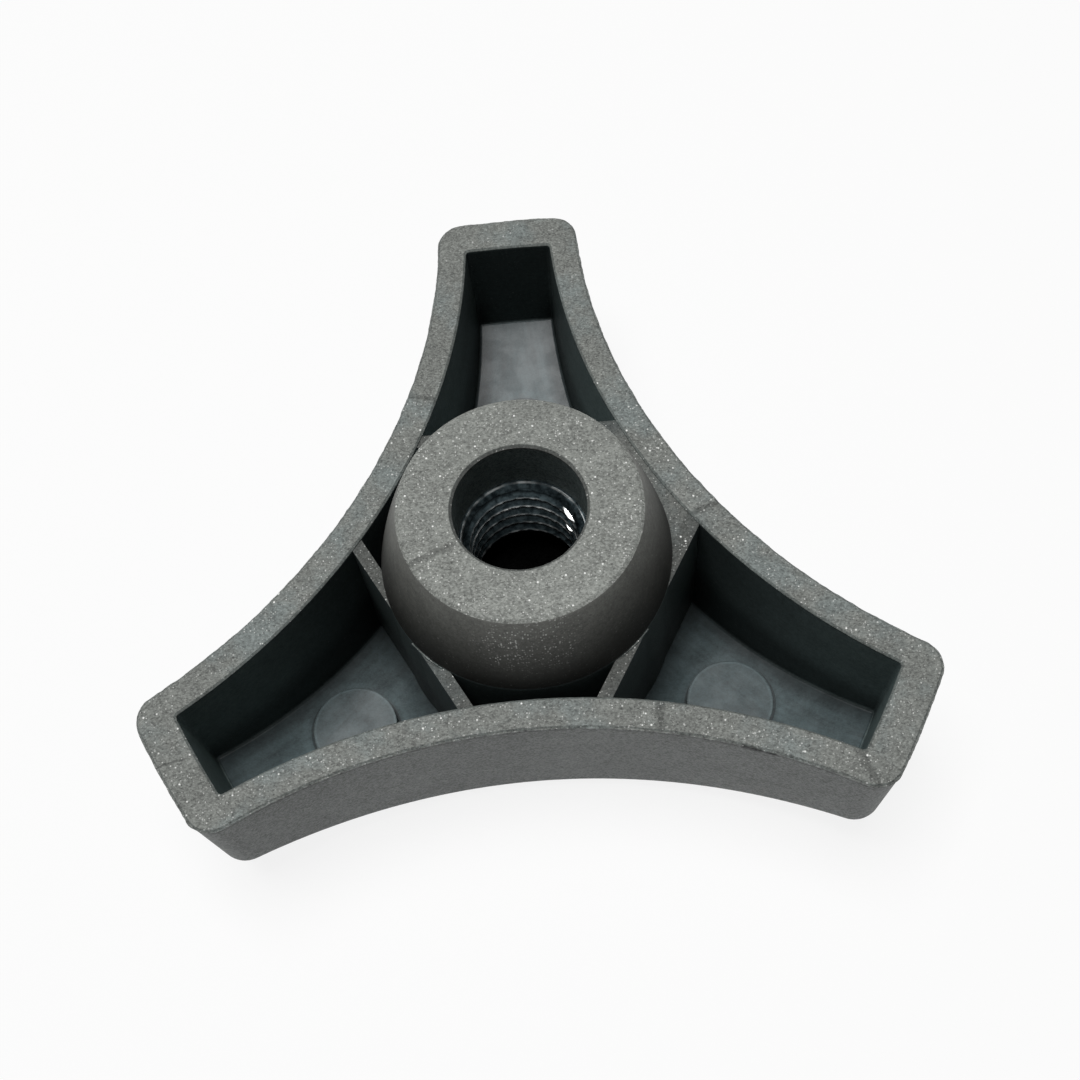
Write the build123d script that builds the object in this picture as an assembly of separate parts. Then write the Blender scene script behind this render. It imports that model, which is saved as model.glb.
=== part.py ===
from build123d import *
import os
from math import cos, hypot, radians, sqrt, tan

# Three-arm quick nut: a hollow moulded knob with a steel nut moulded into its boss.
# It lies on its closed face. Z = 0 is the flat land of that face, +Z leaves the mouth of the
# threaded bore, and one arm points along +Y. Lengths are millimetres, angles are degrees.

# Outline of the knob, seen along the bore
arm_count = 3
first_arm_angle = 90
arm_tip_radius = 40.0
tip_arc_radius = 111.0
waist_radius = 18.0
scallop_radius = 61.0
corner_radius = 2.6

# Height of the hollow body, and its shallow domed closed face with a flat land to rest on
rim_height = 20.6
rest_land_radius = 9.0
tip_rise = 6.7
closed_edge_round = 2.0
rim_edge_chamfer = 0.2
draft_angle = 1.0
upright_share = 0.9

# Walls, floor and ribs on the hollow side
side_wall = 2.95
tip_wall = 3.6
floor_thickness = 1.6
pocket_corner_radius = 0.4
floor_round = 0.35
rib_distance = 12.6
rib_thickness = 1.3
rib_drop = 0.3

# Corner of the hub that is moulded solid, turned from the first arm
solid_corner_angle = -60

# Flat pads left by the ejector pins on the arm floors
pad_distance = 22.5
pad_radius = 4.4
pad_step = 0.1

# Boss with its plain bore above the nut
boss_proud = 9.5
boss_root_radius = 14.1
boss_face_radius = 11.3
boss_bulge = 0.2
boss_edge_chamfer = 0.25
bore_radius = 6.2
bore_edge_chamfer = 0.25
bore_room = 3.0

# Steel hexagon nut, cut to the minor diameter of its thread
nut_recess = 6.5
nut_height = 10.0
nut_across_flats = 18.0
nut_chamfer_angle = 30
thread_minor_radius = 5.2
countersink_radius = 5.95

# Worked out from the sizes above
half_turn = 180 / arm_count
wall_lean = rim_height * tan(radians(draft_angle))
arm_places = PolarLocations(0, arm_count).locations
scallop_places = PolarLocations(0, arm_count, half_turn).locations
dome_centre = (arm_tip_radius**2 + tip_rise**2 - rest_land_radius**2) / (2 * tip_rise)
dome_radius = hypot(rest_land_radius, dome_centre)
boss_foot = floor_thickness / 2
boss_face_height = rim_height + boss_proud
nut_top = boss_face_height - nut_recess
nut_bottom = nut_top - nut_height
bore_end = nut_bottom - bore_room


def leaning_disc(distance, rim_radius, lean):
    """A round column from the rim down, centred along +X, whose foot is wider by the lean."""
    column = Cone(rim_radius + lean, rim_radius, rim_height, align=(Align.CENTER, Align.CENTER, Align.MIN))
    return Pos(distance, 0) * Rot(0, 0, 180) * column


def star(tip_inset, side_inset):
    """The star from the rim down with drafted sides, its tips and scallops moved inwards."""
    tip = leaning_disc(arm_tip_radius - tip_arc_radius, tip_arc_radius - tip_inset, -wall_lean)
    scallop = leaning_disc(waist_radius + scallop_radius, scallop_radius + side_inset, wall_lean)
    block = arm_places[0] * tip
    for place in arm_places[1:]:
        block &= place * tip
    for place in scallop_places:
        block -= place * scallop
    return block


def beyond(distance, lean_angle):
    """Everything past a leaning plane that crosses the +X direction at this distance on the rim."""
    reach = 4 * arm_tip_radius
    half_space = Box(reach, reach, reach, align=(Align.MIN, Align.CENTER, Align.CENTER))
    return Pos(distance, 0, rim_height) * Rot(0, lean_angle, 0) * half_space


def round_corners(solid, radius):
    """Rounds the upright edges at the tips of a star."""
    upright = solid.edges().filter_by(lambda edge: abs(edge.tangent_at(0.5).Z) > upright_share)
    return fillet(upright, radius)


def above_dome(lift):
    """The room above the domed closed face, or above a floor that lies higher by the lift."""
    return Pos(0, 0, dome_centre) * Sphere(dome_radius - lift)


def turned(points):
    """A solid of revolution about the bore's axis from points given as radius and height."""
    corners = [(radius, 0, height) for radius, height in points]
    return revolve(make_face(Polyline(*corners, close=True)), Axis.Z)


def round_dome_edge(solid, radius):
    """Rounds the edge where the walls of a drafted solid run into its dome."""
    dome = solid.faces().filter_by(GeomType.SPHERE)[0]
    return fillet(dome.outer_wire().edges(), radius)


def outer_block():
    """The knob before it is hollowed."""
    block = round_corners(star(0, 0), corner_radius) & above_dome(0)
    return round_dome_edge(block, closed_edge_round)


def hollow():
    """The whole room inside the walls, from the rim down to the domed floor."""
    room = round_corners(star(tip_wall, side_wall), pocket_corner_radius) & above_dome(floor_thickness)
    return round_dome_edge(room, floor_round)


def rim_tray(room):
    """The knob with its middle lowered to the tops of the ribs and both edges of its rim broken."""
    rib_tops = Plane.XY.offset(rim_height - rib_drop)
    tray = outer_block() - split(room, bisect_by=rib_tops, keep=Keep.TOP)
    rim = tray.faces().sort_by(Axis.Z)[-1]
    return chamfer(rim.edges(), rim_edge_chamfer)


def arm_well(room):
    """The part of the room in the arm along +X, shut off from the hub by a straight rib."""
    return room & beyond(rib_distance + rib_thickness, -draft_angle)


def hub_well(room):
    """The three-cornered part of the room inside the ribs, short of the corner that is solid."""
    for place in arm_places:
        room -= place * beyond(rib_distance, draft_angle)
    solid_corner = beyond(rib_distance * cos(radians(half_turn)), draft_angle)
    return room - Rot(0, 0, solid_corner_angle) * solid_corner


def ejector_pad():
    """A flat pad on the sloping floor of the arm along +X, flush at its tip side."""
    tip_side = pad_distance + pad_radius
    floor_radius = dome_radius - floor_thickness
    pad_top = dome_centre - sqrt(floor_radius**2 - tip_side**2) + pad_step
    pin = Cylinder(pad_radius, pad_top, align=(Align.CENTER, Align.CENTER, Align.MIN))
    return Pos(pad_distance, 0) * pin & above_dome(floor_thickness / 2)


def boss():
    """The solid boss: drafted inside the hollow, a slightly bulging cone above the rim."""
    foot_radius = boss_root_radius + (rim_height - boss_foot) * tan(radians(draft_angle))
    taper = boss_root_radius - boss_face_radius
    slant = hypot(taper, boss_proud)
    middle_radius = (boss_root_radius + boss_face_radius) / 2 + boss_bulge * boss_proud / slant
    middle_height = (rim_height + boss_face_height) / 2 + boss_bulge * taper / slant
    root = (boss_root_radius, 0, rim_height)
    brim = (boss_face_radius, 0, boss_face_height)
    side = ThreePointArc(root, (middle_radius, 0, middle_height), brim)
    rest = Polyline(brim, (0, 0, boss_face_height), (0, 0, boss_foot), (foot_radius, 0, boss_foot), root)
    return revolve(make_face([side, rest]), Axis.Z)


def nut_blank():
    """The nut's outside: a hexagon with its corners turned off at both ends."""
    hexagon = RegularPolygon(nut_across_flats / 2, 6, major_radius=False)
    prism = extrude(Pos(0, 0, nut_bottom) * hexagon, nut_height)
    flat_radius = nut_across_flats / 2
    past_corner = nut_across_flats / 4
    fall = past_corner * tan(radians(nut_chamfer_angle))
    envelope = turned(
        [
            (0, nut_bottom),
            (flat_radius, nut_bottom),
            (flat_radius + past_corner, nut_bottom + fall),
            (flat_radius + past_corner, nut_top - fall),
            (flat_radius, nut_top),
            (0, nut_top),
        ]
    )
    return prism & envelope


def threaded_insert():
    """The steel nut with its minor-diameter bore, countersunk at both ends."""
    flare = countersink_radius - thread_minor_radius
    core = turned(
        [
            (0, nut_bottom),
            (countersink_radius, nut_bottom),
            (thread_minor_radius, nut_bottom + flare),
            (thread_minor_radius, nut_top - flare),
            (countersink_radius, nut_top),
            (0, nut_top),
        ]
    )
    return nut_blank() - core


def knob_body():
    """The moulding, with a blind bore and a seat that fits the nut face to face."""
    room = hollow()
    body = rim_tray(room)
    arm_hollow = arm_well(room)
    pad = ejector_pad()
    for place in arm_places:
        body -= place * arm_hollow
        body += place * pad
    body -= hub_well(room)
    body += boss()
    bore = Cylinder(bore_radius, boss_face_height - bore_end, align=(Align.CENTER, Align.CENTER, Align.MIN))
    body -= Pos(0, 0, bore_end) * bore
    body -= nut_blank()
    mouth = body.edges().group_by(Axis.Z)[-1].sort_by(SortBy.RADIUS)[0]
    body = chamfer(mouth, bore_edge_chamfer)
    brim = body.edges().group_by(Axis.Z)[-1].sort_by(SortBy.RADIUS)[-1]
    return chamfer(brim, boss_edge_chamfer)


os.makedirs("parts", exist_ok=True)
nodes = {"knob_body": knob_body(), "threaded_insert": threaded_insert()}
for name, solid in nodes.items():
    export_step(Rot(0, 0, first_arm_angle) * solid, f"parts/{name}.step")
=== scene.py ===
import math
from functools import reduce

import bmesh
import bpy
from mathutils import Matrix, Vector


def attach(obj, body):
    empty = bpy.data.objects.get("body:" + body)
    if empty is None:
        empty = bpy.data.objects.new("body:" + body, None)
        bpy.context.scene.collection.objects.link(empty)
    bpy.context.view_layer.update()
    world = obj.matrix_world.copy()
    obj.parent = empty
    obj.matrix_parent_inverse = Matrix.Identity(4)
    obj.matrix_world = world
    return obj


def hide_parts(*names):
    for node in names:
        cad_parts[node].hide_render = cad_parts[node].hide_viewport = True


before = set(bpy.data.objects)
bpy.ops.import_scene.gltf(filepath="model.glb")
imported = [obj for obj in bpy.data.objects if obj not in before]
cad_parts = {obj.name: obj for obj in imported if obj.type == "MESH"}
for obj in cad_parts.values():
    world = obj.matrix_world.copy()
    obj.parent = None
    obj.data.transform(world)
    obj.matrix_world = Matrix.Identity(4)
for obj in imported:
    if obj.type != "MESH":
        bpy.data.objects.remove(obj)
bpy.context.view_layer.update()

# Sizes of the solids, in millimetres, and the metres in one of them
MM = 0.001
ARM_COUNT = 3
FIRST_ARM = math.radians(90)
HALF_ARM = math.pi / ARM_COUNT
ARM_TURNS = [FIRST_ARM + 2 * HALF_ARM * k for k in range(ARM_COUNT)]
TIP_RADIUS, TIP_ARC = 40.0, 111.0
WAIST_RADIUS, SCALLOP_RADIUS = 18.0, 61.0
CORNER_RADIUS = 2.6
RIM_HEIGHT, RIB_TOP = 20.6, 20.3
RIB_INSIDE, RIB_OUTSIDE = 12.6, 13.9
BOSS_FACE, BOSS_ROOT = 30.1, 14.1
BORE_RADIUS, BORE_END = 6.2, 10.6
PAD_DISTANCE, PAD_RADIUS, PAD_TOP = 22.5, 4.4, 4.53
NUT_TOP, NUT_BOTTOM = 23.6, 13.6
NUT_FLATS, NUT_CHAMFER = 18.0, math.radians(30)
THREAD_MINOR, THREAD_MAJOR, THREAD_PITCH = 5.2, 6.04, 1.75
COUNTERSINK = 5.95


class Value:
    """One output of a node. Arithmetic on it adds Math nodes to its tree."""

    def __init__(self, graph, socket):
        self.graph = graph
        self.socket = socket

    def __add__(self, other):
        return self.graph.math("ADD", self, other)

    def __sub__(self, other):
        return self.graph.math("SUBTRACT", self, other)

    def __rsub__(self, other):
        return self.graph.math("SUBTRACT", other, self)

    def __mul__(self, other):
        return self.graph.math("MULTIPLY", self, other)

    def __truediv__(self, other):
        return self.graph.math("DIVIDE", self, other)

    def __rtruediv__(self, other):
        return self.graph.math("DIVIDE", other, self)

    def __gt__(self, other):
        return self.graph.math("GREATER_THAN", self, other)

    def __lt__(self, other):
        return self.graph.math("LESS_THAN", self, other)

    def __abs__(self):
        return self.graph.math("ABSOLUTE", self)

    __radd__ = __add__
    __rmul__ = __mul__

    def least(self, other):
        return self.graph.math("MINIMUM", self, other)

    def most(self, other):
        return self.graph.math("MAXIMUM", self, other)

    def root(self):
        return self.graph.math("SQRT", self)

    def rise(self, low, high):
        """0 below low, 1 above high and a smooth step between them."""
        return self.graph.value(
            "ShaderNodeMapRange",
            {"interpolation_type": "SMOOTHSTEP"},
            {"Value": self, "From Min": low, "From Max": high},
        )

    def fall(self, low, high):
        """1 below low, 0 above high and a smooth step between them."""
        return 1 - self.rise(low, high)


class Graph:
    """A node tree that is written as Python expressions."""

    def __init__(self, tree):
        self.tree = tree

    def node(self, kind, settings=None, inputs=None):
        """Adds a node, sets it up, then fills or links its sockets."""
        made = self.tree.nodes.new(kind)
        for name, value in (settings or {}).items():
            setattr(made, name, value)
        for name, value in (inputs or {}).items():
            if isinstance(value, Value):
                self.tree.links.new(value.socket, made.inputs[name])
            else:
                made.inputs[name].default_value = value
        return made

    def value(self, kind, settings=None, inputs=None, output=0):
        """One output of a new node."""
        return Value(self, self.node(kind, settings, inputs).outputs[output])

    def math(self, operation, *terms):
        return self.value("ShaderNodeMath", {"operation": operation}, dict(enumerate(terms)))

    def vector(self, operation, first, second):
        socket = "Scale" if operation == "SCALE" else 1
        return self.value("ShaderNodeVectorMath", {"operation": operation}, {0: first, socket: second})

    def axes(self, vector):
        """The x, y and z of a vector."""
        parts = self.node("ShaderNodeSeparateXYZ", None, {0: vector})
        return [Value(self, socket) for socket in parts.outputs]

    def mix(self, share, first, second):
        """A colour between two colours."""
        return self.value(
            "ShaderNodeMix", {"data_type": "RGBA"}, {"Factor": share, 6: first, 7: second}, output=2
        )

    def millimetres(self):
        """The place on the object, in millimetres."""
        return self.vector("SCALE", self.value("ShaderNodeTexCoord", output=3), 1 / MM)

    def noise(self, place, scale, detail=2.0, roughness=0.5):
        """Noise from 0 to 1, with the scale in waves per unit of the place."""
        sockets = {"Vector": place, "Scale": scale, "Detail": detail, "Roughness": roughness}
        return self.value("ShaderNodeTexNoise", None, sockets)

    def cells(self, place, scale):
        """The distance to the middle of the nearest random cell, and two random numbers of that cell."""
        cells = self.node("ShaderNodeTexVoronoi", None, {"Vector": place, "Scale": scale})
        chance, strength, _ = self.axes(Value(self, cells.outputs["Color"]))
        return Value(self, cells.outputs["Distance"]), chance, strength

    def flakes(self, place, scale, share, low, high):
        """Small round spots in a share of the cells of a random pattern, each as bright as it happens to be."""
        distance, chance, strength = self.cells(place, scale)
        return (chance < share) * distance.fall(low, high) * strength.rise(-0.3, 1.0)


def new_material(name):
    """A material with an empty tree and its shader."""
    material = bpy.data.materials.new(name)
    material.use_nodes = True
    graph = Graph(material.node_tree)
    shader = material.node_tree.nodes["Principled BSDF"]
    return material, graph, shader


def feed(graph, shader, **sockets):
    """Links values to the shader's sockets, named with underscores for spaces."""
    for name, value in sockets.items():
        graph.tree.links.new(value.socket, shader.inputs[name.replace("_", " ")])


# Faint lines where the plastic met itself in the mould: ends on the object and half width
WELD_LINES = [
    ((-35.0, -19.05), (-32.7, -18.5), 0.20),
    ((11.4, -16.2), (11.2, -18.9), 0.55),
    ((28.6, -22.0), (29.8, -25.4), 0.50),
    ((-10.9, 18.6), (-8.2, 17.95), 0.40),
    ((16.6, 2.8), (18.9, 3.55), 0.50),
    ((-10.3, -5.05), (-6.2, -3.3), 0.50),
]
# A nick along the rim's outer edge, a dent in the bump that is also darkened as painted shade
NICK = ((18.4, -20.95), (21.3, -22.05), 0.26)

# Colours of the plastic, zone by zone
OUTER_WALL = (0.192, 0.202, 0.198, 1)
RIM_GREY = (0.194, 0.203, 0.190, 1)
RIM_CLOUD = (0.160, 0.194, 0.195, 1)
FACE_GREY = (0.230, 0.240, 0.224, 1)
# The boss's cone is drawn much darker than the rest of the plastic as painted shade
BOSS_CONE_SHADED = (0.094, 0.096, 0.089, 1)
# A dark ring on the face round the bore's edge, painted shade where the face rolls into the bore
BORE_EDGE_SHADE = (0.110, 0.116, 0.110, 1)
# The bore's wall is drawn darker than the outer walls as painted shade
BORE_WALL_SHADED = (0.120, 0.146, 0.144, 1)
# The closed end of the bore is drawn black as a painted shadow
BLIND_END_SHADOW = (0.002, 0.002, 0.002, 1)
# Pocket walls are drawn darker than the outer walls as painted shade
POCKET_WALL_SHADED = (0.078, 0.102, 0.101, 1)
POCKET_FLOOR = (0.046, 0.066, 0.070, 1)
METAL_FLAKE = (0.90, 0.91, 0.88, 1)

# Colours of the steel nut
DULL_ZINC = (0.012, 0.018, 0.021, 1)
CLEAR_ZINC = (0.062, 0.084, 0.092, 1)
# The thread's grooves are drawn darker as painted shade
GROOVE_SHADE = (0.006, 0.008, 0.009, 1)
# Light steel that stands for painted highlights on the thread's crests, its lip and its glints
STEEL_HIGHLIGHT = (0.92, 0.95, 0.94, 1)
# Height of the turn with the strongest painted highlight, at the arm along +Y
HIGHLIGHT_TURN = 19.69
# Painted glints on the thread, spots of light steel whose bump tilts them to catch a reflection: middle and radius
GLINT_SPOTS = [((4.64, 3.15, 21.6), 1.15), ((4.55, 3.43, 18.1), 0.7)]


def line_mask(x, y, start, end, width):
    """1 along a straight line on the object, seen from above."""
    run = Vector(end) - Vector(start)
    length = run.length
    run.normalize()
    along = (x - start[0]) * run.x + (y - start[1]) * run.y
    across = abs((x - start[0]) * run.y - (y - start[1]) * run.x)
    return across.fall(0.2 * width, width) * along.rise(-0.3, 0.1) * along.fall(length - 0.1, length + 0.3)


def from_axis(x, y, distance, angle):
    """How far a point is, seen from above, from an upright line at this distance and angle."""
    across = x - distance * math.cos(angle)
    along = y - distance * math.sin(angle)
    return (across * across + along * along).root()


def into_arm(x, y):
    """How far a point lies inside the nearest scallop and inside the nearest tip, seen from above."""
    scallops = [from_axis(x, y, WAIST_RADIUS + SCALLOP_RADIUS, turn + HALF_ARM) for turn in ARM_TURNS]
    tips = [from_axis(x, y, TIP_RADIUS - TIP_ARC, turn) for turn in ARM_TURNS]
    return reduce(Value.least, scallops) - SCALLOP_RADIUS, TIP_ARC - reduce(Value.most, tips)


def along_arm(x, y):
    """How far a point lies along the arm that it is in."""
    return reduce(Value.most, [x * math.cos(turn) + y * math.sin(turn) for turn in ARM_TURNS])


def pad_rings_mask(x, y):
    """Rings round the pads: the edge of each, a groove in the bump drawn darker as painted shade, the softer lighter
    one outside it and the one inside it, a painted highlight.
    """
    radius = reduce(Value.least, [from_axis(x, y, PAD_DISTANCE, turn) for turn in ARM_TURNS])
    edge = abs(radius - PAD_RADIUS - 0.12).fall(0.05, 0.22)
    halo = abs(radius - PAD_RADIUS - 0.85).fall(0.1, 0.5)
    inside = abs(radius - PAD_RADIUS + 0.18).fall(0.04, 0.2)
    return edge, halo, inside


class Zones:
    """The zones of the moulding, each as a mask, and the measures that they come from."""

    def __init__(self, graph, place):
        x, y, z = graph.axes(place)
        _, _, upness = graph.axes(graph.value("ShaderNodeNewGeometry", output=1))
        radius = (x * x + y * y).root()
        self.x, self.y, self.z, self.radius = x, y, z, radius
        self.from_side, from_tip = into_arm(x, y)
        self.along = along_arm(x, y)
        self.up = upness.rise(0.5, 0.85)
        under = upness.fall(-0.6, -0.15)
        self.face = z.rise(BOSS_FACE - 0.6, BOSS_FACE - 0.3)
        self.top = self.up * z.rise(RIB_TOP - 0.7, RIB_TOP - 0.3)
        self.floor = self.up * z.fall(11.0, 13.0)
        self.outside = self.from_side.fall(0.9, 1.9).most(from_tip.fall(1.2, 2.4)).most(under) * (1 - self.top)
        cone = radius.fall(BOSS_ROOT + 0.2, BOSS_ROOT + 0.6) * radius.rise(BORE_RADIUS + 1.3, BORE_RADIUS + 2.3)
        self.boss_side = z.rise(RIB_TOP + 0.05, RIM_HEIGHT + 0.1) * (1 - self.up) * cone
        below_face = z.fall(BOSS_FACE - 0.6, BOSS_FACE - 0.2) * z.rise(BORE_END - 3.6, BORE_END - 1.6)
        self.in_bore = radius.fall(BORE_RADIUS + 0.3, BORE_RADIUS + 0.8) * below_face
        # Painted shadow: the closed end of the bore below the nut
        self.blind_shadow = self.in_bore * z.fall(NUT_BOTTOM - 0.6, NUT_TOP - 3.6)


def moulding_marks(zone, wobble):
    """Weld lines on the upper faces, the nick in the rim, darkened as painted shade, and the parting line under the
    rim, drawn as a painted shadow line on the outer wall.
    """
    bent_x = zone.x + (wobble - 0.5) * 1.1
    bent_y = zone.y + (wobble - 0.5) * 0.4
    weld = sum(line_mask(bent_x, zone.y, *line) for line in WELD_LINES) * zone.top * (0.5 + wobble)
    # The nick is a dent in the bump, darkened here as painted shade
    nick = line_mask(zone.x, bent_y, *NICK) * zone.z.rise(RIM_HEIGHT - 1.2, RIM_HEIGHT - 0.7)
    # Painted shadow: a ragged dark line on the outer wall under the rim's flash
    strip = zone.z.rise(RIM_HEIGHT - 0.95, RIM_HEIGHT - 0.7) * zone.z.fall(RIM_HEIGHT - 0.4, RIM_HEIGHT - 0.2)
    parting = zone.outside * strip * wobble.rise(0.25, 0.6)
    return weld, nick, parting


def metal_flakes(graph, place, zone, patchy):
    """Bright flakes, drawn mostly on the upper faces as painted sparkle, with a dense crowd of painted sparkle on the
    boss's front side, and the fine flakes by themselves.
    """
    fine = graph.flakes(place, 5.0, 0.20, 0.16, 0.46)
    large = graph.flakes(place, 2.4, 0.10, 0.10, 0.32)
    dense = graph.flakes(place, 4.4, 0.45, 0.12, 0.50)
    # Painted sparkle: a dense crowd of flakes on the front of the boss's side
    sparkle_patch = zone.y.fall(-8.0, -6.0) * abs(zone.x).fall(2.0, 6.2) * abs(zone.z - 27.2).fall(1.2, 4.2)
    fewer = 1 - zone.y.rise(13.0, 27.0) * 0.65
    # Painted sparkle: flakes drawn strongest on the upper faces, fewer towards the back and faintly on the walls
    flakes_lit = zone.top * (0.45 + patchy * 0.6 + zone.face * 0.25) * fewer + (1 - zone.up) * 0.06
    spread = (fine * 0.75 + large * 1.3) * flakes_lit
    return (spread + dense * zone.boss_side * sparkle_patch * (0.3 + patchy * 0.6)).least(1.0), fine


def zone_colours(graph, zone, cloud):
    """The plain colour of each zone, with the pocket walls, the boss's side, the bore and its closed end drawn darker
    as painted shade.
    """
    wall = graph.mix(zone.outside, POCKET_WALL_SHADED, OUTER_WALL)
    wall = graph.mix(zone.boss_side, wall, BOSS_CONE_SHADED)
    wall = graph.mix(zone.in_bore, wall, BORE_WALL_SHADED)
    flat = graph.mix(zone.floor, RIM_GREY, POCKET_FLOOR)
    flat = graph.mix(zone.top * cloud.rise(0.45, 0.68) * 0.5, flat, RIM_CLOUD)
    flat = graph.mix(zone.face, flat, FACE_GREY)
    base = graph.mix(zone.up, wall, flat)
    # Painted shade: a dark ring round the bore's edge on the face
    bore_edge_shade = zone.radius.fall(BORE_RADIUS + 0.16, BORE_RADIUS + 0.3) * zone.face
    base = graph.mix(bore_edge_shade, base, BORE_EDGE_SHADE)
    return graph.mix(zone.blind_shadow, base, BLIND_END_SHADOW)


def zone_shade(graph, zone):
    """Painted shade and painted light: how much lighter or darker than its plain colour each place is drawn, in the
    pocket corners, on the boss face and side, along the ribs and on the hollow walls.
    """
    # Painted shade on the pocket floors close to the side walls and to the ribs
    low = zone.z.fall(8.0, 13.0) * (1 - zone.outside)
    rib_foot_shade = low * zone.along.fall(RIB_OUTSIDE, RIB_OUTSIDE + 2.7)
    corner = (1 - low * zone.from_side.fall(3.2, 5.6) * 0.62) * (1 - rib_foot_shade * 0.5)
    lowered = zone.top * zone.z.fall(RIB_TOP + 0.08, RIB_TOP + 0.2)
    on_rib = zone.along.rise(RIB_INSIDE - 0.4, RIB_INSIDE) * zone.along.fall(RIB_OUTSIDE, RIB_OUTSIDE + 0.4)
    ribs = (1 - lowered * 0.34) * (1 - lowered * on_rib * 0.3)
    # Painted highlight: the boss face lighter towards its front and a little darker towards its back
    painted_sheen = 1 + zone.face * (zone.y.fall(-10.5, -5.0) * 0.12 - zone.y.rise(3.0, 10.0) * 0.05)
    # Painted shade: the boss's side darkens towards its foot
    climb = ((zone.z - RIM_HEIGHT) / (BOSS_FACE - RIM_HEIGHT)).most(0.0)
    boss = 1 + zone.boss_side * (graph.math("POWER", climb, 1.5) * 1.75 - 0.88)
    # Painted shade on the pocket walls: the far arm's walls lighter near the hub and darker at its end, the near
    # arms' walls darker near the hub and lighter at their tips
    far_arm = zone.y.rise(7.0, 12.0)
    far_shade = 1.9 - zone.along.rise(14.0, 33.0) * 1.4
    near_shade = 0.45 + zone.along.rise(13.0, 32.0) * 1.2
    hollow_wall_shade = far_arm * far_shade + (1 - far_arm) * near_shade
    hollow = (1 - zone.up) * (1 - zone.outside) * zone.z.fall(RIB_TOP - 0.3, RIB_TOP + 0.1)
    return corner * ribs * painted_sheen * boss * (1 + hollow * (hollow_wall_shade - 1))


def fleck_plastic():
    """Grey moulded plastic with metal flakes: sandy on the rim and boss face, smooth and bluish in the hollows, with
    painted shade in the hollows, on the boss's side, in the bore and under the rim, and painted sparkle on the upper
    faces.
    """
    material, graph, shader = new_material("fleck_plastic")
    place = graph.millimetres()
    zone = Zones(graph, place)
    top, floor = zone.top, zone.floor

    turned = {"Vector": place, "Rotation": (0, 0, 0.7), "Scale": (1.0, 2.1, 1.4)}
    sand = graph.noise(graph.value("ShaderNodeMapping", None, turned), 4.0, 3.0, 0.7)
    wrinkle = graph.noise(place, 1.9, 4.0, 0.62)
    _, grit, _ = graph.cells(place, 6.0)
    wobble = graph.noise(place, 1.4, 3.0)
    cloud = graph.noise(place, 0.17, 3.0, 0.6)
    patchy = graph.noise(place, 0.42, 3.0, 0.55).rise(0.35, 0.65)
    band = graph.value("ShaderNodeCombineXYZ", None, {0: zone.from_side, 1: zone.along * 0.1, 2: 0.0})
    drawn = graph.noise(band, 0.9, 3.0, 0.6)

    coarse = 0.35 + top * 0.62 + zone.outside * 0.8 + zone.in_bore * 0.6
    speckle = (sand - 0.5) * 2.0 * coarse + (grit - 0.5) * 0.6 * coarse + (wrinkle - 0.5) * (0.8 - top * 0.3)
    speckle = speckle + (cloud - 0.5) * (0.35 + floor * 0.5) + (patchy - 0.5) * 0.12 + (drawn - 0.5) * floor * 1.3
    weld, nick, parting = moulding_marks(zone, wobble)
    # The weld lines are the plastic's own marks; the darkening of the nick and of the parting line is painted shade
    marks = (1 - weld * 0.38) * (1 - nick * 0.8) * (1 - parting * 0.55)
    edge, halo, inside = pad_rings_mask(zone.x, zone.y)
    # Painted shade along each pad's edge, a lighter ring outside it and a painted highlight inside it
    pad_ring_shading = (1 - floor * edge * 0.6) * (1 + floor * (halo * 0.2 + inside * 0.4))
    shade = (1.0 + speckle).most(0.12) * marks * pad_ring_shading * zone_shade(graph, zone)
    tint = graph.vector("SCALE", zone_colours(graph, zone, cloud), shade)
    flake, fine = metal_flakes(graph, place, zone, patchy)
    colour = graph.mix(flake, tint, METAL_FLAKE)

    height = sand * coarse + wrinkle * 0.6 + fine * top * 0.5 - weld * 0.4 - nick * 3.0 - floor * edge
    bump = graph.value("ShaderNodeBump", None, {"Strength": 0.4, "Distance": 0.06 * MM, "Height": height})
    roughness = 0.52 + (sand - 0.5) * 0.3 - floor * 0.10
    coat = floor * (0.28 + patchy * 0.16) * (1 - zone.blind_shadow)
    shader.inputs["Specular IOR Level"].default_value = 0.10
    shader.inputs["Coat Roughness"].default_value = 0.36
    # The closed end of the bore is also made metallic so that its painted shadow stays black
    feed(graph, shader, Base_Color=colour, Roughness=roughness, Normal=bump, Coat_Weight=coat, Metallic=zone.blind_shadow)
    return material


def spot_mask(graph, place, middle, radius):
    """1 near a point on the object, in a spot that is twice as wide as it is high."""
    x, y, z = graph.axes(graph.vector("SUBTRACT", place, middle))
    return (x * x + y * y + z * z * 4.0).root().fall(0.65 * radius, radius)


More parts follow.
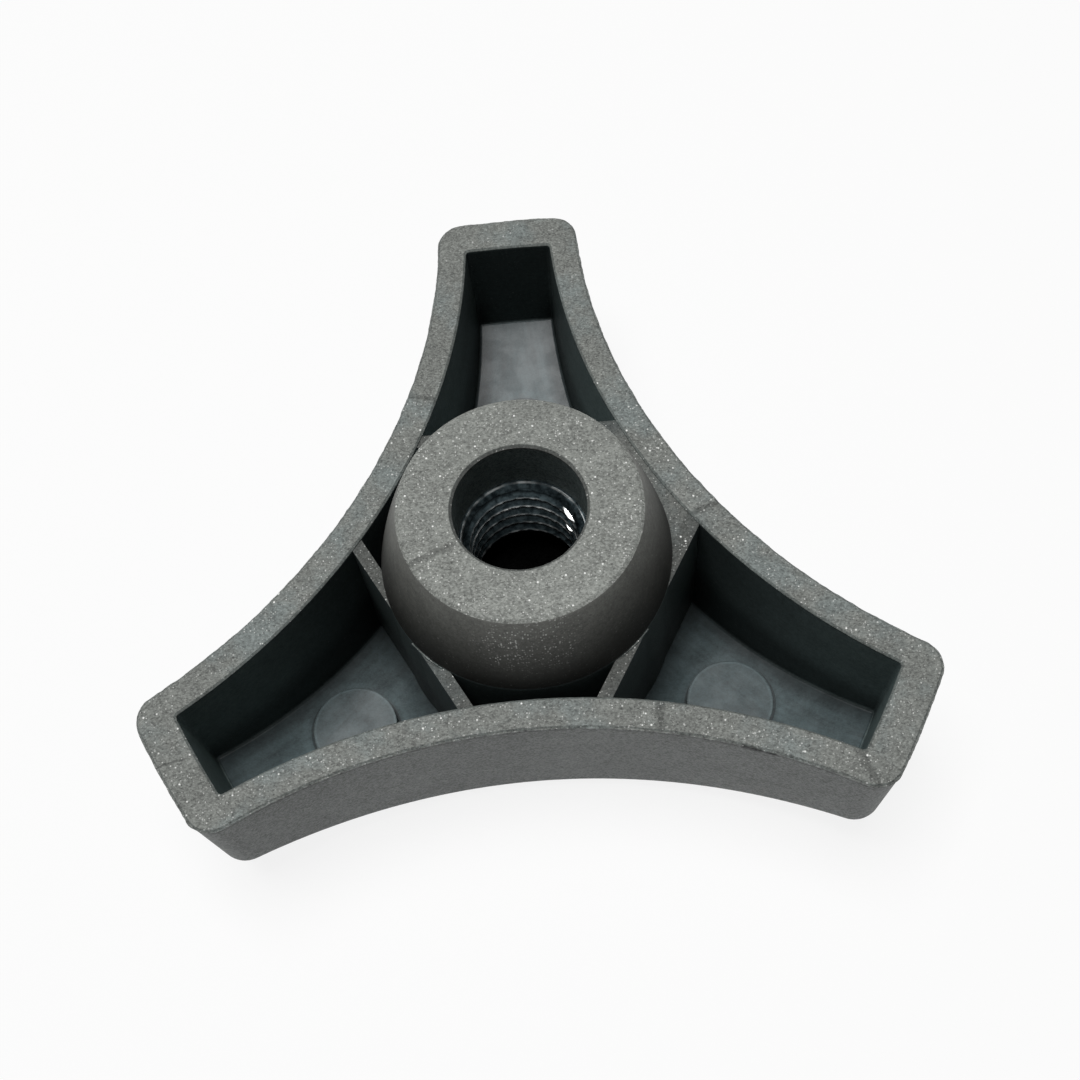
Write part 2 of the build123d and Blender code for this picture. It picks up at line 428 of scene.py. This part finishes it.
def zinc_plate():
    """Dark bluish zinc on the steel nut, with painted highlights of light steel along the crests of the thread and
    round its lip, and two painted glints that the bump also tilts.
    """
    material, graph, shader = new_material("zinc_plate")
    place = graph.millimetres()
    x, y, z = graph.axes(place)
    radius = (x * x + y * y).root()
    mottle = graph.noise(place, 1.5, 4.0, 0.65)
    streak = graph.noise(graph.vector("MULTIPLY", place, (1.0, 1.0, 7.0)), 0.8, 3.0)
    highlight_noise = graph.noise(place, 0.6, 3.0).rise(0.40, 0.64)
    in_thread = z.fall(NUT_TOP - 1.2, NUT_TOP - 0.7)
    around = graph.math("ARCTAN2", 0 - x, y) / (2 * math.pi)
    # Painted highlights along the crests, strongest along one turn
    highlight_turn = abs(z - HIGHLIGHT_TURN - around * THREAD_PITCH).fall(0.5, 0.85)
    crest_highlight = 0.05 + highlight_noise * 0.30 + highlight_turn * (0.25 + highlight_noise * 0.40)
    crest = radius.fall(THREAD_MINOR + 0.03, THREAD_MINOR + 0.16) * in_thread * crest_highlight
    lip = z.rise(NUT_TOP - 0.14, NUT_TOP - 0.05) * radius.fall(COUNTERSINK + 0.04, COUNTERSINK + 0.15)
    groove = radius.rise(THREAD_MINOR + 0.35, THREAD_MAJOR - 0.1) * in_thread
    # Painted glints: spots of light steel, tilted by the bump below
    glint = reduce(Value.most, [spot_mask(graph, place, *spot) for spot in GLINT_SPOTS])
    flank = radius.fall(THREAD_MINOR + 0.4, THREAD_MINOR + 0.75)

    plate = graph.mix(mottle.rise(0.36, 0.68), DULL_ZINC, CLEAR_ZINC)
    # Painted shade in the thread's grooves
    plate = graph.mix(groove, plate, GROOVE_SHADE)
    # Painted highlights: light steel on the crests, round the lip and in the glint spots
    highlights = crest.most(lip * (0.04 + highlight_noise * 0.36)).most(glint * flank)
    colour = graph.mix(highlights, plate, STEEL_HIGHLIGHT)
    roughness = 0.24 + mottle * 0.2 + streak * 0.12 - glint * 0.20
    height = (mottle + streak) * 0.3 - glint * (radius - THREAD_MINOR - 0.4) * 6.0
    bump = graph.value("ShaderNodeBump", None, {"Strength": 1.0, "Distance": 0.05 * MM, "Height": height})
    shader.inputs["Metallic"].default_value = 1.0
    feed(graph, shader, Base_Color=colour, Roughness=roughness, Normal=bump)
    return material


def geometry_tree(name, sizes):
    """A Geometry Nodes tree with a geometry input and output and named sizes."""
    tree = bpy.data.node_groups.new(name, "GeometryNodeTree")
    tree.interface.new_socket("Geometry", in_out="INPUT", socket_type="NodeSocketGeometry")
    for size in sizes:
        tree.interface.new_socket(size, in_out="INPUT", socket_type="NodeSocketFloat")
    tree.interface.new_socket("Geometry", in_out="OUTPUT", socket_type="NodeSocketGeometry")
    graph = Graph(tree)
    entry = graph.node("NodeGroupInput")
    sockets = {socket.name: Value(graph, socket) for socket in entry.outputs if socket.name}
    return graph, sockets


def finish_tree(graph, geometry, material):
    """Ends a tree: real geometry with its material."""
    real = graph.value("GeometryNodeRealizeInstances", None, {0: geometry})
    dressed = graph.value("GeometryNodeSetMaterial", None, {"Geometry": real, "Material": material})
    graph.node("NodeGroupOutput", None, {0: dressed})
    return graph.tree


def outward_faces(mesh):
    """Turns every face of a closed mesh outwards and shades it smoothly up to its sharp edges."""
    edit = bmesh.new()
    edit.from_mesh(mesh)
    bmesh.ops.recalc_face_normals(edit, faces=edit.faces)
    for edge in edit.edges:
        edge.smooth = edge.calc_face_angle(0.0) < math.radians(38)
    for face in edit.faces:
        face.smooth = True
    edit.to_mesh(mesh)
    edit.free()


def grown(name, tree, values, mesh):
    """A plain mesh piece from a Geometry Nodes tree with its sizes filled in, attached to the root body."""
    seed = bpy.data.objects.new(name + "_seed", mesh)
    bpy.context.scene.collection.objects.link(seed)
    modifier = seed.modifiers.new(name, "NODES")
    modifier.node_group = tree
    for socket in tree.interface.items_tree:
        if socket.in_out == "INPUT" and socket.name in values:
            modifier[socket.identifier] = values[socket.name]
    done = seed.evaluated_get(bpy.context.evaluated_depsgraph_get())
    made = bpy.data.meshes.new_from_object(done)
    bpy.data.objects.remove(seed)
    made.name = name
    outward_faces(made)
    piece = bpy.data.objects.new(name, made)
    bpy.context.scene.collection.objects.link(piece)
    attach(piece, "root")
    return piece


def ring_grid(graph, around, rows):
    """A flat grid to be wound round the axis, with its angle and its row."""
    grid = graph.node(
        "GeometryNodeMeshGrid", None, {"Size X": 1.0, "Size Y": 1.0, "Vertices X": around, "Vertices Y": rows}
    )
    index = graph.value("GeometryNodeInputIndex")
    row = graph.math("MODULO", index, rows)
    column = graph.math("FLOOR", (index + 0.5) / rows)
    return Value(graph, grid.outputs["Mesh"]), column / (around - 1), row


def wind(graph, mesh, angle, radius, height):
    """Moves a grid's points to an angle, radius and height about the bore's axis."""
    across = radius * graph.math("COSINE", angle)
    along = radius * graph.math("SINE", angle)
    spot = graph.value("ShaderNodeCombineXYZ", None, {0: across, 1: along, 2: height})
    return graph.value("GeometryNodeSetPosition", None, {"Geometry": mesh, "Position": spot})


def thread_nut(material):
    """The steel nut with real thread turns, in place of the plain one."""
    values = {
        "Minor": THREAD_MINOR * MM,
        "Major": THREAD_MAJOR * MM,
        "Pitch": THREAD_PITCH * MM,
        "Countersink": COUNTERSINK * MM,
        "Top": NUT_TOP * MM,
        "Bottom": NUT_BOTTOM * MM,
        "Flats": NUT_FLATS / 2 * MM,
        "Fall": math.tan(NUT_CHAMFER),
    }
    graph, size = geometry_tree("thread_turns", values)
    around, rows = 145, 181
    first_turn, crest_share, flank_share = 10.5, 0.125, 0.625

    mesh, share, row = ring_grid(graph, around, rows)
    angle = share * (2 * math.pi)
    height = size["Bottom"] + (size["Top"] - size["Bottom"]) * (row / (rows - 1))
    turn = graph.math("FRACT", height / size["Pitch"] - share + first_turn)
    flank = (abs(turn - 0.5) * 2.0 - crest_share) / flank_share
    depth = flank.most(0.0).least(1.0)
    groove = size["Minor"] + (size["Major"] - size["Minor"]) * depth
    end = (size["Top"] - height).least(height - size["Bottom"])
    radius = groove.most(size["Countersink"] - end)
    at_end = end < 1e-7
    radius = radius * (1 - at_end) + size["Countersink"] * at_end
    bore = wind(graph, mesh, angle, radius, height)

    mesh, share, row = ring_grid(graph, around, 6)
    angle = share * (2 * math.pi)
    sector = graph.math("FRACT", share * 6.0) - 0.5
    hexagon = size["Flats"] / graph.math("COSINE", sector * (math.pi / 3))
    fall = (hexagon - size["Flats"]) * size["Fall"]
    outer = (row > 0.5) * (row < 4.5)
    side = (row > 1.5) * (row < 3.5)
    radius = size["Countersink"] + outer * (size["Flats"] - size["Countersink"]) + side * (hexagon - size["Flats"])
    upper = row < 2.5
    height = upper * (size["Top"] - side * fall) + (1 - upper) * (size["Bottom"] + side * fall)
    shell = wind(graph, mesh, angle, radius, height)

    both = graph.node("GeometryNodeJoinGeometry")
    for part in (bore, shell):
        graph.tree.links.new(part.socket, both.inputs[0])
    joined = Value(graph, both.outputs[0])
    closed = graph.value("GeometryNodeMergeByDistance", None, {"Geometry": joined, "Distance": 2e-6})
    tree = finish_tree(graph, closed, material)
    nut = grown("thread_nut", tree, values, bpy.data.meshes.new("empty"))
    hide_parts("threaded_insert")


def arc_points(centre, radius, start, end, step):
    """Points along an arc between two angles."""
    count = max(2, int(abs(end - start) * radius / step))
    return [
        centre + radius * Vector((math.cos(a), math.sin(a)))
        for a in (start + (end - start) * i / count for i in range(count))
    ]


def rim_outline(inset):
    """The outer edge of the rim, seen from above, as a closed loop of points."""
    tip_centre = Vector((TIP_RADIUS - TIP_ARC, 0))
    tip_radius = TIP_ARC - inset
    scallop_radius = SCALLOP_RADIUS + inset
    corner = CORNER_RADIUS - inset
    reach = WAIST_RADIUS + SCALLOP_RADIUS
    scallop_centre = reach * Vector((math.cos(HALF_ARM), math.sin(HALF_ARM)))
    apart = scallop_centre - tip_centre
    tip_side, scallop_side = tip_radius - corner, scallop_radius + corner
    along = (apart.length_squared + tip_side**2 - scallop_side**2) / (2 * apart.length)
    aside = math.sqrt(tip_side**2 - along**2)
    run = apart.normalized()
    corner_centre = tip_centre + along * run + aside * Vector((run.y, -run.x))

    to_tip = corner_centre - tip_centre
    to_scallop = corner_centre - scallop_centre
    tip_end = math.atan2(to_tip.y, to_tip.x)
    corner_end = math.atan2(-to_scallop.y, -to_scallop.x)
    scallop_start = math.atan2(to_scallop.y, to_scallop.x) % (2 * math.pi)
    scallop_middle = math.pi + HALF_ARM
    step = 0.25
    quarter = arc_points(tip_centre, tip_radius, 0, tip_end, step)
    quarter += arc_points(corner_centre, corner, tip_end, corner_end, step)
    quarter += arc_points(scallop_centre, scallop_radius, scallop_start, scallop_middle, step)
    mirrored = [Vector((p.x, -p.y)) for p in reversed(quarter[1:])]
    last = Vector((WAIST_RADIUS - inset, 0))
    last.rotate(Matrix.Rotation(HALF_ARM, 2))
    arm = mirrored + quarter + [last]
    loop = []
    for turn in ARM_TURNS:
        spin = Matrix.Rotation(turn, 2)
        loop += [spin @ p for p in arm]
    return loop


def path_mesh(paths, height, closed):
    """Bare level lines through points, in millimetres, for a tree to follow."""
    spots, edges = [], []
    for points in paths:
        first, count = len(spots), len(points)
        spots += [Vector((p.x, p.y, height)) * MM for p in points]
        edges += [(first + i, first + (i + 1) % count) for i in range(count if closed else count - 1)]
    mesh = bpy.data.meshes.new("path")
    mesh.from_pydata(spots, edges, [])
    return mesh


def flash_tree(material, sizes):
    """A ragged thin ridge of plastic along a path."""
    graph, size = geometry_tree("moulding_flash", sizes)
    path = graph.value("GeometryNodeMeshToCurve", None, {0: size["Geometry"]})
    even = graph.value("GeometryNodeResampleCurve", {"mode": "LENGTH"}, {"Curve": path, "Length": size["Step"]})
    spot = graph.value("GeometryNodeInputPosition")
    ragged = size["Least"] + (1 - size["Least"]) * graph.noise(spot, size["Waves"], 3.0, 0.7).rise(0.34, 0.70)
    bead = graph.value(
        "GeometryNodeCurvePrimitiveCircle", {"mode": "RADIUS"}, {"Resolution": 6, "Radius": size["Thickness"]}
    )
    ridge = graph.value(
        "GeometryNodeCurveToMesh", None, {"Curve": even, "Profile Curve": bead, "Scale": ragged, "Fill Caps": True}
    )
    return finish_tree(graph, ridge, material)


def rim_flash(material):
    """The ragged parting line round the rim's outer edge."""
    sizes = {"Thickness": 0.14 * MM, "Step": 0.16 * MM, "Waves": 620.0, "Least": 0.35}
    path = path_mesh([rim_outline(0.0)], RIM_HEIGHT - 0.24, True)
    grown("rim_flash", flash_tree(material, sizes), sizes, path)


def pad_edges(material):
    """The fine burr that the pins leave round each pad."""
    sizes = {"Thickness": 0.07 * MM, "Step": 0.16 * MM, "Waves": 500.0, "Least": 0.5}
    rings = []
    for turn in ARM_TURNS:
        centre = PAD_DISTANCE * Vector((math.cos(turn), math.sin(turn)))
        rings.append(arc_points(centre, PAD_RADIUS - 0.05, 0, 2 * math.pi, 0.3))
    grown("pad_edges", flash_tree(material, sizes), sizes, path_mesh(rings, PAD_TOP - 0.01, True))


def rib_slivers(material):
    """Thin slivers of flash where two ribs run into the boss."""
    sizes = {"Thickness": 0.13 * MM, "Step": 0.12 * MM, "Waves": 700.0, "Least": 0.4}
    spans = [(-54.0, -38.5), (-142.5, -126.0)]
    arcs = [arc_points(Vector((0, 0)), BOSS_ROOT + 0.1, math.radians(a), math.radians(b), 0.15) for a, b in spans]
    grown("rib_slivers", flash_tree(material, sizes), sizes, path_mesh(arcs, RIB_TOP + 0.06, False))


def unlit_rays(graph):
    """1 for rays from the camera, mirrors and glass, 0 for light that falls on the object."""
    rays = graph.node("ShaderNodeLightPath")
    kinds = [Value(graph, rays.outputs[name]) for name in ("Is Camera Ray", "Is Glossy Ray", "Is Transmission Ray")]
    return (kinds[0] + kinds[1] + kinds[2]).least(1.0)


def table():
    """A wide pale table that keeps a soft shadow and looks white to the camera."""
    bpy.ops.mesh.primitive_plane_add(size=4.0)
    plane = bpy.context.object
    plane.name = "table"
    material, graph, shader = new_material("pale_table")
    shader.inputs["Base Color"].default_value = (0.90, 0.90, 0.90, 1)
    shader.inputs["Roughness"].default_value = 0.9
    shader.inputs["Specular IOR Level"].default_value = 0.1
    glow = graph.value("ShaderNodeEmission", None, {"Color": (1, 1, 1, 1), "Strength": 1.0})
    lit = Value(graph, shader.outputs[0])
    flakes_lit = graph.value("ShaderNodeMixShader", None, {0: unlit_rays(graph) * 0.86, 1: lit, 2: glow})
    graph.tree.links.new(flakes_lit.socket, graph.tree.nodes["Material Output"].inputs["Surface"])
    plane.data.materials.append(material)


def studio():
    """One soft light almost overhead, a little behind and to the left, in a white surround."""
    world = bpy.data.worlds.new("studio")
    bpy.context.scene.world = world
    world.use_nodes = True
    graph = Graph(world.node_tree)
    background = world.node_tree.nodes["Background"]
    background.inputs["Color"].default_value = (1, 1, 1, 1)
    fill = 0.03
    strength = fill + unlit_rays(graph) * (1 - fill)
    graph.tree.links.new(strength.socket, background.inputs["Strength"])
    lamp = bpy.data.lights.new("key", "AREA")
    lamp.energy = 3.5
    lamp.size = 0.30
    holder = bpy.data.objects.new("key", lamp)
    holder.location = (-0.062, 0.044, 0.62)
    holder.rotation_euler = (-Vector(holder.location)).to_track_quat("-Z", "Y").to_euler()
    bpy.context.scene.collection.objects.link(holder)


# The camera that took the photograph: turn, rise and roll in degrees, then millimetres and pixels
CAMERA_ANGLES = (6.03, 64.20, -9.86)
CAMERA_AIM, CAMERA_DISTANCE = (-1.44, 0.86, RIM_HEIGHT), 133.75
PHOTO_WIDTH, FOCAL_LENGTH = 1080, 1377.95
SHIFT_X, SHIFT_Y = 29.56, 3.93
SENSOR_MM = 36.0


def photo_camera():
    """The camera that took the photograph, found from the outline of the rim."""
    turn, rise, roll = (math.radians(angle) for angle in CAMERA_ANGLES)
    look, distance = Vector(CAMERA_AIM) * MM, CAMERA_DISTANCE * MM
    back = Vector((math.sin(turn) * math.cos(rise), -math.cos(turn) * math.cos(rise), math.sin(rise)))
    level = Vector((math.cos(turn), math.sin(turn), 0))
    right = math.cos(roll) * level + math.sin(roll) * back.cross(level)
    up = back.cross(right)
    lens = bpy.data.cameras.new("photo_camera")
    lens.sensor_width = SENSOR_MM
    lens.lens = SENSOR_MM * FOCAL_LENGTH / PHOTO_WIDTH
    lens.shift_x = SHIFT_X / PHOTO_WIDTH
    lens.shift_y = SHIFT_Y / PHOTO_WIDTH
    lens.clip_start = 0.01
    holder = bpy.data.objects.new("photo_camera", lens)
    holder.matrix_world = Matrix.Translation(look + distance * back) @ Matrix((right, up, back)).transposed().to_4x4()
    bpy.context.scene.collection.objects.link(holder)
    bpy.context.scene.camera = holder


plastic = fleck_plastic()
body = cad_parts["knob_body"]
body.data.materials.clear()
body.data.materials.append(plastic)
thread_nut(zinc_plate())
rim_flash(plastic)
pad_edges(plastic)
rib_slivers(plastic)
table()
studio()
photo_camera()
bpy.context.scene.view_settings.view_transform = "Standard"
